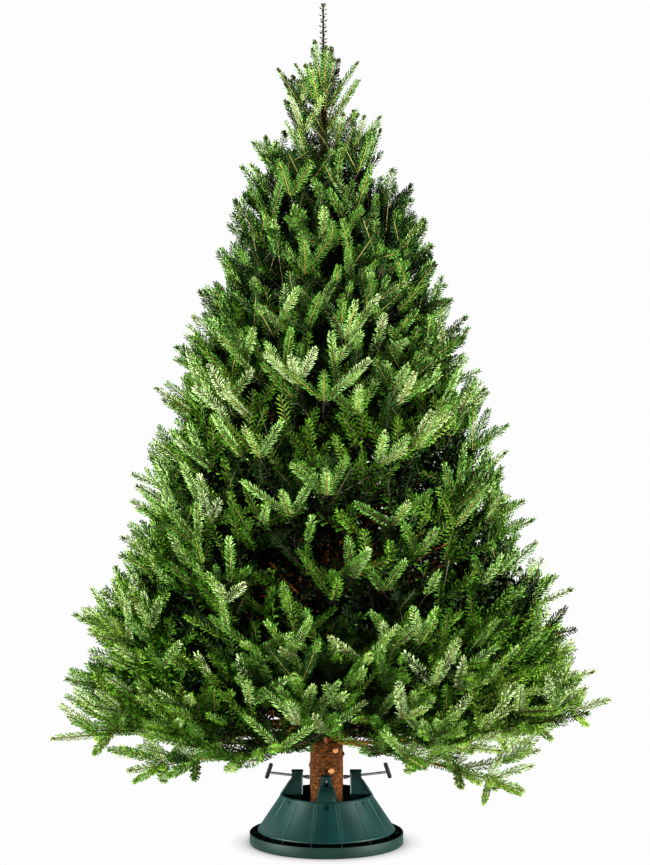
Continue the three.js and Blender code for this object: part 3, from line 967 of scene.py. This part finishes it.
# Rings of boughs up the stem, closer together near the foot of the crown.
foot_height = 0.45  # up to here the rings are close, and their boughs stay flatter and greener
bough_gap = 0.33  # between two boughs of a ring, round the crown's outline
ring_height = 0.319
highest_ring = 1.88
ring = 0
while ring_height < highest_ring:
    spacing = 48 * mm if ring_height < foot_height else 80 * mm
    rise = np.interp(ring_height, rise_heights, base_rises)
    reach = crown_reach(ring_height + 0.3 * math.sin(math.radians(rise)))
    count = max(5, round(math.tau * reach / bough_gap))
    for k in range(count):
        turn = (k + chance.uniform(-0.25, 0.25)) * math.tau / count + ring * 2.4
        height = ring_height + chance.uniform(-0.4, 0.4) * spacing
        base_rise = rise + chance.normal(0, 4)
        tip_rise = base_rise + chance.normal(17 if height > foot_height else 9, 6)
        share = chance.uniform(0.93, 1.0) if ring % 3 == 0 else chance.uniform(0.86, 0.99)
        thickness = (2.0 + 6.5 * reach) * mm
        green_depth = 0.5 if height < foot_height else 0.35
        grow_bough(turn, height, base_rise, tip_rise, share, thickness, green_depth)
    ring_height += spacing
    ring += 1

# The last three years: open whorls close under the leader.
top_whorls = [(1.925, 7, 46, 185), (1.982, 6, 53, 150), (2.033, 5, 64, 126)]  # height, count, rise, length
for height, count, rise, length in top_whorls:
    for k in range(count):
        turn = (k + 0.3 + chance.uniform(-0.2, 0.2)) * math.tau / count + height * 40
        tilt = rise + chance.normal(0, 4)
        way = length * mm * chance.uniform(0.85, 1.08)
        grow_bough(turn, height, tilt, tilt + 8, 1.0, 2.0 * mm, 0.2, way)

# Under the crown the oldest side twigs are bare and brown, and so are boughs and twigs near the stem.
bare_twig_radii = (1.9 * mm, 0.9 * mm)
bare_twig_limit = 0.4  # none of them ends further from the stem than this
bare_bough_reach = 0.36  # from the stem to where the lowest boughs turn green
bare_fork_reach = 0.27  # from the stem to where their side shoots do
bare_height = 0.37
first_bare_twig = len(shoots)
for k in range(lowest_whorl):
    for year in (1, 2, 3):
        fork = bough_lines[k][year][0]
        heading = unit(fork - bough_lines[k][year - 1][0])
        up = unit(up_axis - heading * heading[2])
        for side in (-1, 1):
            angle = side * math.radians(chance.normal(48, 8))
            way = turned(heading, up, angle, math.radians(chance.normal(2, 7)))
            end = fork + way * chance.uniform(110, 210) * mm
            if math.hypot(end[0], end[1]) < bare_twig_limit:
                shoots.append((fork, end, up, *bare_twig_radii, 3, True, k))

starts = np.array([s[0] for s in shoots])
ends = np.array([s[1] for s in shoots])
ups = np.array([s[2] for s in shoots])
radii = np.array([[s[3], s[4]] for s in shoots])
orders = np.array([s[5] for s in shoots])
tips = np.array([s[6] for s in shoots])
boughs = np.array([s[7] for s in shoots])
middles = (starts + ends) / 2
depths = np.array([crown_depth(p) for p in middles])
drops = starts[:, 2] - ends[:, 2]
hangs = (orders > 0) & (boughs < lowest_whorl) & (drops > 0.3 * year_lengths[2])
bare_reach = np.where(orders == 0, bare_bough_reach, bare_fork_reach)
bare = (middles[:, 2] < bare_height) & (np.hypot(middles[:, 0], middles[:, 1]) < bare_reach) & ~hangs
bare[first_bare_twig:] = True

twig_years = 2  # the last years of a bough count as twigs
limb_sides = 6
limb_rings_per_year = 2
collar_reach = 26 * mm


def unit_rows(vectors):
    return vectors / np.linalg.norm(vectors, axis=1)[:, None]


def side_and_above(along, up):
    """The directions across limbs and over them, for rows of unit vectors along them."""
    across = unit_rows(np.cross(up, along))
    return across, np.cross(along, across)


def ring_ways(along, up, turns):
    """The directions from a limb's middle line out to each of its edges."""
    across, above = side_and_above(along, up)
    return across[:, None] * np.cos(turns)[:, None] + above[:, None] * np.sin(turns)[:, None]


def limb_mesh():
    """The boughs as smooth tapering limbs, each with a collar where it leaves the stem."""
    points, quads, ends_closed, first = [], [], [], 0
    for whole_line in bough_lines:
        line = whole_line[: len(whole_line) - twig_years]
        if len(line) < 2:
            continue
        knots_along = np.arange(len(line))
        fine = np.linspace(0, len(line) - 1, (len(line) - 1) * limb_rings_per_year + 1)
        places = np.array([place for place, _ in line])
        slopes = np.gradient(places, axis=0)
        low = np.minimum(fine.astype(int), len(line) - 2)
        t = (fine - low)[:, None]
        centres = (
            (2 * t**3 - 3 * t**2 + 1) * places[low]
            + (t**3 - 2 * t**2 + t) * slopes[low]
            + (3 * t**2 - 2 * t**3) * places[low + 1]
            + (t**3 - t**2) * slopes[low + 1]
        )
        girth = np.interp(fine, knots_along, [radius for _, radius in line])
        gone = np.linalg.norm(centres - centres[0], axis=1)
        girth = girth * (1 + 0.5 * np.exp(-((gone / collar_reach) ** 2)))
        turns = np.arange(limb_sides) * math.tau / limb_sides
        rough = 1 + chance.normal(0, 0.06, (len(fine), limb_sides))
        ring_out = ring_ways(unit_rows(np.gradient(centres, axis=0)), up_axis, turns)
        points.append((centres[:, None] + ring_out * (girth[:, None] * rough)[..., None]).reshape(-1, 3))
        points.append(np.array([centres[0], centres[-1]]))
        sides, closed = tube_faces(len(fine), limb_sides, first)
        quads.append(sides)
        ends_closed.append(closed)
        first += len(fine) * limb_sides + 2
    return new_piece(
        "boughs", np.concatenate(points), (np.concatenate(quads), np.concatenate(ends_closed)), smooth=True
    )


limbs = limb_mesh()
bough_nodes = [f"bough_{k + 1}" for k in range(lowest_whorl)]
# The boughs' bark is lighter than the stem's: partly its own orange-tan, partly painted light for the light
# the lowest boughs lack from below.
seat(limbs, [fir_bark("bough_bark", "#523519", "#8a5c33", "#b9824e", 4 * mm)], "bark", *bough_nodes)


def twig_mesh(name, numbers):
    """Three-sided tapering twigs, one for each of these shoots."""
    turns = np.arange(3) * math.tau / 3 + math.pi / 2
    ring_out = ring_ways(unit_rows(ends[numbers] - starts[numbers]), ups[numbers], turns)
    low = starts[numbers][:, None] + ring_out * radii[numbers, 0][:, None, None]
    high = ends[numbers][:, None] + ring_out * radii[numbers, 1][:, None, None]
    points = np.concatenate([low, high], 1)
    base = np.arange(len(numbers))[:, None] * 6
    faces = [base + np.array([[k, (k + 1) % 3, (k + 1) % 3 + 3, k + 3]]) for k in range(3)]
    return new_piece(name, points, (np.concatenate(faces),))


def twig_skin(name, colour):
    """Thin young bark, one even colour, hairy and dull."""
    return new_material(name, colour, 0.8)[0]


years_to_tip = np.zeros(len(shoots), int)
for k in range(len(shoots) - 2, -1, -1):
    if not tips[k]:
        later = range(k + 1, len(shoots))
        after = next(j for j in later if boughs[j] == boughs[k] and orders[j] == orders[k])
        years_to_tip[k] = years_to_tip[after] + 1
is_twig = ((orders > 0) | (years_to_tip < twig_years)) & ~bare
# Twigs are darker the deeper in the crown they lie: partly older bark, partly painted shade.
twig_kinds = {
    "young": (0.1, "#746833"),
    "older": (0.15, "#51452a"),
    "inner": (0.28, "#2a2212"),
}  # how deep in the crown each kind lies, and its colour
shallow = -1.0
for kind, (deep, colour) in twig_kinds.items():
    chosen = np.nonzero(is_twig & (depths >= shallow) & (depths < deep))[0]
    twigs = twig_mesh(f"twigs_{kind}", chosen)
    seat(twigs, [twig_skin(f"{kind}_twig_skin", colour)], "bark", *bough_nodes)
    shallow = deep
bare_twigs = twig_mesh("twigs_bare", np.nonzero(bare & (orders > 0))[0])
seat(bare_twigs, [twig_skin("bare_twig_skin", "#8a5a31")], "bark", *bough_nodes)


# ---------------------------------------------------------------- needles
# Each young shoot is lined with flat needles, on either side a row that lies out, a shorter one raised
# over it and one below. They are waxy green above and paler below, and the youngest are the lightest.

needle_width = 3.1 * mm  # wider than the real 2 mm, so that fewer fill a spray
needle_fold = 0.85  # how far the middle ridge stands over the edges, against half the width
row_lengths = np.array([20.5, 18.5, 17]) * mm  # of the row that lies out, the raised and the low one
row_lifts = np.array([4, 60, -38])  # degrees
row_strays = np.array([12, 16, 10])  # degrees that single needles lie off their row
row_sweeps = np.array([1.0, 0.74, 0.86])  # how far each row spreads from the shoot, against the first
depth_limits = (0.12, 0.175, 0.48)  # how deep the full, the fair and the sparse sprays lie
tones = [
    ("#071303", "#0d1d09"),
    ("#1b330a", "#28451b"),
    ("#3e6213", "#587a38"),
    ("#5b7d27", "#7d9860"),
    ("#708a3a", "#93a17e"),
    ("#7f914c", "#a0aa88"),
]  # the upper side of a needle and its paler underside, from the darkest, deep in the crown and partly painted shade, to the tips
tiers = {
    "skirt": (0.0, 8),
    "low": (0.415, 6),
    "lower_middle": (0.61, 5),
    "middle": (0.83, 4),
    "upper_middle": (1.07, 4),
    "upper": (1.31, 3),
    "high": (1.55, 2),
    "higher": (1.78, 2),
    "crest": (1.96, 2),
}  # where each tier begins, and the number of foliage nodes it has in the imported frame


def needle_set(count, is_tip, sweep, long, wide):
    """Needles along one shoot: their places on it (0 to 1), and four corners each off its middle line."""
    order = np.arange(count)
    place = (order + chance.uniform(0.2, 0.8, count)) / count
    side = np.where(order % 2 == 0, 1.0, -1.0)
    row = order // 2 % 3
    lift = np.radians(row_lifts[row] + row_strays[row] * chance.normal(0, 1, count))
    spread = np.radians(sweep * row_sweeps[row] + chance.normal(0, 4, count))
    length = row_lengths[row] * chance.uniform(0.88, 1.08, count) * long
    if is_tip:
        near_end = np.clip((place - 0.72) / 0.28, 0, 1)
        spread = spread * (1 - 0.52 * near_end**1.5)
        length = length * (1 - 0.2 * near_end)
    length = length * (1 - 0.3 * np.clip((0.15 - place) / 0.15, 0, 1))
    out = np.stack([np.cos(spread), np.sin(spread) * np.cos(lift) * side, np.sin(spread) * np.sin(lift)], 1)
    tilt = chance.normal(0, 0.35, count) - 0.8 * side * np.sin(lift)
    face = np.stack([chance.normal(0, 0.3, count), tilt, 0.2 + 0.8 * np.cos(lift)], 1)
    face = unit_rows(face - out * (face * out).sum(1)[:, None])
    across = np.cross(face, out)
    half = needle_width / 2 * wide * chance.uniform(0.9, 1.1, count)[:, None]
    root = out * 0.8 * mm
    belly = root + out * (0.82 * length)[:, None] - face * needle_fold * half
    bow = chance.normal(0.05, 0.05, count)
    tip = root + out * length[:, None] + face * (bow * length)[:, None]
    return place, np.stack([root, belly + across * half, tip, belly - across * half], 1)


rolls = chance.normal(0, math.radians(20), len(shoots))  # how far each spray is twisted round its twig
rolls = np.where(hangs, chance.uniform(-1.2, 1.2, len(shoots)), rolls)

# The tone of each spray, as a place in the list of tones. Boughs and sprays differ a little. It falls
# towards the inside of the crown, partly with the needles' age and partly as painted shade; painted shade
# darkens it up the tree, painted light lightens it at the foot of the crown, and low down painted light
# lightens it to the left and right.
outer_tone = 4.3
lightest_tone = 4.2
painted_shade_depth_step = 0.07  # so much deeper in the crown is a tone darker, partly with older needles and partly as painted shade
older_tone_drop = 0.5  # between a tip and the shoots behind it
bough_tones = chance.normal(0, 0.5, len(bough_lines))
shoot_tones = outer_tone + bough_tones[boughs] + chance.normal(0, 0.6, len(shoots))
# Sprays darken with depth in the crown: partly the needles' age, partly painted shade.
shoot_tones -= depths / painted_shade_depth_step
# Painted shade darkens sprays above 0.8 m, more towards the top, and painted light lightens them below 0.8
# m.
shoot_tones -= np.interp(middles[:, 2], [0.3, 0.8, 1.8, 2.1], [-0.35, 0.0, 1.5, 1.9])
# Low down, painted light lightens sprays to the left and right of the stem, and painted shade darkens those
# in the middle.
painted_side_light_share = np.interp(middles[:, 2], [0.4, 0.9], [1.0, 0.0])
shoot_tones += painted_side_light_share * np.interp(np.abs(middles[:, 0]), [0.1, 0.45], [-0.8, 0.35])
shoot_tones = np.minimum(shoot_tones - np.where(tips, 0, older_tone_drop), lightest_tone)

needle_corners, needle_tones, needle_full = [], [], []


def add_needles(numbers, per_metre, is_tip, sweep, long, wide, is_full):
    """Puts needles on these shoots, so many to the metre, in groups of shoots of like length."""
    wanted = np.maximum(6, np.round(np.linalg.norm(ends - starts, axis=1) * per_metre / 6) * 6).astype(int)
    for count in np.unique(wanted[numbers]):
        group = numbers[wanted[numbers] == count]
        place, corners = needle_set(count, is_tip, sweep, long, wide)
        along = ends[group] - starts[group]
        length = np.linalg.norm(along, axis=1)
        along = along / length[:, None]
        across, above = side_and_above(along, ups[group])
        cosine, sine = np.cos(rolls[group])[:, None], np.sin(rolls[group])[:, None]
        frames = np.stack([along, across * cosine + above * sine, above * cosine - across * sine], 1)
        local = np.einsum("ncj,sjk->snck", corners, frames)
        line = starts[group][:, None] + along[:, None] * (length[:, None] * place)[..., None]
        tone = np.repeat(shoot_tones[group][:, None], count, 1)
        if is_tip and is_full:
            tone = tone + 0.4 * np.clip((place - 0.7) / 0.25, 0, 1)
        store_needles((local + line[:, :, None]).reshape(-1, 4, 3), tone.ravel(), is_full)


def store_needles(corners, tone, is_full):
    needle_corners.append(corners)
    needle_tones.append(np.clip(np.round(tone), 0, len(tones) - 1).astype(int))
    needle_full.append(np.full(len(corners), is_full))


near_top = middles[:, 2] > 1.86
low_down = boughs < lowest_whorl
depth_grades = np.searchsorted(depth_limits, depths)
depth_grades[bare] = len(depth_limits)
full, fair, sparse = (depth_grades == grade for grade in range(3))
needle_kinds = [
    (full & ~near_top & ~low_down, (900, 800), 62, 1.0, 1.0, True),
    (full & low_down & ~hangs, (990, 880), 62, 1.0, 1.1, True),
    (full & hangs, (1080, 960), 42, 1.0, 1.5, True),
    (full & near_top, (720, 640), 50, 0.9, 0.85, True),
    (fair, (540, 480), 60, 1.0, 1.15, False),
    (sparse, (150, 150), 58, 1.25, 3.2, False),
]  # which shoots, needles a metre on tips and on older shoots, sweep, length, width, underside too
for is_tip in (True, False):
    for which, (on_tips, on_older), sweep, long, wide, is_full in needle_kinds:
        numbers = np.nonzero(which & (tips == is_tip))[0]
        add_needles(numbers, on_tips if is_tip else on_older, is_tip, sweep, long, wide, is_full)

# The leader carries needles all round: close and swept up at its foot, few and short above.
# Of each the height, the length and the lean outwards in degrees are given.
close_needles = 90
few_needles = 30
leader_needles = [(2.045 + 0.1 * k / close_needles, 14 * mm, 22) for k in range(close_needles)]
leader_needles += [(2.145 + 0.11 * k / few_needles, 11 * mm, 62) for k in range(few_needles)]
golden_angle = 2.39996  # radians from one needle round to the next
corners = []
for k, (height, length, lean) in enumerate(leader_needles):
    turn = k * golden_angle
    lean = math.radians(lean + chance.normal(0, 7))
    level = np.array([math.cos(turn), math.sin(turn), 0.0])
    out = level * math.sin(lean) + up_axis * math.cos(lean)
    face = up_axis * math.sin(lean) - level * math.cos(lean)
    roll = 0.9 if k % 2 else -0.9
    face = face * math.cos(roll) + np.cross(out, face) * math.sin(roll)
    across = np.cross(face, out)
    half = needle_width / 2 * (1.1 if length > 11 * mm else 1.6)
    root = np.array([stem_drift(height), 0, height]) + level * (stem_radius(height) - 0.4 * mm)
    belly = root + out * 0.5 * length - face * needle_fold * half
    corners.append([root, belly + across * half, root + out * length, belly - across * half])
store_needles(np.array(corners), np.where(np.arange(len(corners)) < close_needles, 1.0, 0.0), True)

needle_corners = np.concatenate(needle_corners)
needle_tones = np.concatenate(needle_tones)
needle_full = np.concatenate(needle_full)
needle_heights = needle_corners[:, 0, 2]
needle_turns = np.arctan2(needle_corners[:, 0, 1], needle_corners[:, 0, 0])


def needle_wax(colour, name):
    """Living needle: smooth and waxy, half glossy. Each shade is dealt to whole sprays."""
    return new_material(name, colour, 0.55, IOR=1.38, Specular_IOR_Level=0.25)[0]


needle_materials = [needle_wax(top, f"needle_wax_{k + 1}") for k, (top, _) in enumerate(tones)]
needle_materials += [needle_wax(low, f"needle_underside_{k + 1}") for k, (_, low) in enumerate(tones)]


def needle_mesh(name, numbers):
    """Needles as folded kites, and on the outer sprays a pale triangle under each."""
    base = np.arange(len(numbers))[:, None] * 4
    under = base[needle_full[numbers]]
    faces = np.concatenate([base + [0, 1, 2], base + [0, 2, 3], under + [0, 3, 1]])
    tone = needle_tones[numbers]
    numbers_of_material = np.concatenate([tone, tone, tone[needle_full[numbers]] + len(tones)])
    return new_piece(name, needle_corners[numbers], (faces,), numbers_of_material)


piece_limit = 190_000  # triangles in one piece
tier_starts = [start for start, _ in tiers.values()]
needle_tiers = np.searchsorted(tier_starts, needle_heights, side="right") - 1
for tier, (name, (_, node_count)) in enumerate(tiers.items()):
    numbers = np.nonzero(needle_tiers == tier)[0]
    numbers = numbers[np.argsort(needle_turns[numbers])]
    triangles = 2 * len(numbers) + needle_full[numbers].sum()
    parts = int(triangles // piece_limit) + 1
    nodes = [f"foliage_{name}_{k + 1}" for k in range(node_count)]
    for part, chosen in enumerate(np.array_split(numbers, parts)):
        needles = needle_mesh(f"needles_{name}_{part + 1}", chosen)
        seat(needles, needle_materials, "fir_needles", *nodes)


# ---------------------------------------------------------------- buds
# Next year's buds: a blunt scaly bud on the tip of each young shoot near the outside of the crown, with one
# at either side, and a cluster on the leader. They are brown and resinous, and carry no needles.

bud_length = 8 * mm
bud_radius = 3.0 * mm


def bud_mesh(places, ways, sizes):
    """Four-sided pointed buds, fuller in the middle, each at a place and along a way."""
    some = np.where(np.abs(ways[:, 2:]) > 0.9, [[1.0, 0, 0]], [[0, 0, 1.0]])
    across, above = side_and_above(ways, some)
    middle = places + ways * (0.4 * bud_length * sizes)[:, None]
    girth = (bud_radius * sizes)[:, None]
    rows = [middle + across * girth, middle + above * girth, middle - across * girth, middle - above * girth]
    foot = places - ways * (0.15 * bud_length * sizes)[:, None]
    points = np.stack([foot, *rows, places + ways * (bud_length * sizes)[:, None]], 1)
    base = np.arange(len(places))[:, None] * 6
    faces = [base + [0, 1 + (k + 1) % 4, 1 + k] for k in range(4)]
    faces += [base + [5, 1 + k, 1 + (k + 1) % 4] for k in range(4)]
    return new_piece("buds", points, (np.concatenate(faces),), smooth=True)


def resinous_bud():
    """Brown bud scales under a thin coat of resin, drawn darker than their own tan: the darkness is painted
    shade.
    """
    return new_material("resinous_bud", "#241d0c", 0.5)[0]


bearing = np.nonzero(tips & (depths < 0.09) & ~bare)[0]
along = unit_rows(ends[bearing] - starts[bearing])
across, _ = side_and_above(along, ups[bearing])
places = [ends[bearing]] + [ends[bearing] - along * 3 * mm + across * side * 1.6 * mm for side in (-1, 1)]
ways = [along] + [unit_rows(along + across * side * 0.9) for side in (-1, 1)]
size = 1.1 + 0.3 * (ends[bearing, 2] > 1.9)  # the buds of the top whorls are the fullest
sizes = [size, size * 0.85, size * 0.85]
leader_turns = np.arange(5) * math.tau / 5
leader_tip = np.array([top_drift, 0, tree_top - 5 * mm])
leader_ways = np.array([[0.6 * math.cos(t), 0.6 * math.sin(t), 0.8] for t in leader_turns])
places += [np.repeat(leader_tip[None], 5, 0)]
ways += [leader_ways]
sizes += [np.full(5, 1.5)]
buds = bud_mesh(np.concatenate(places), np.concatenate(ways), np.concatenate(sizes))
seat(buds, [resinous_bud()], "bark", "foliage_crest_1")
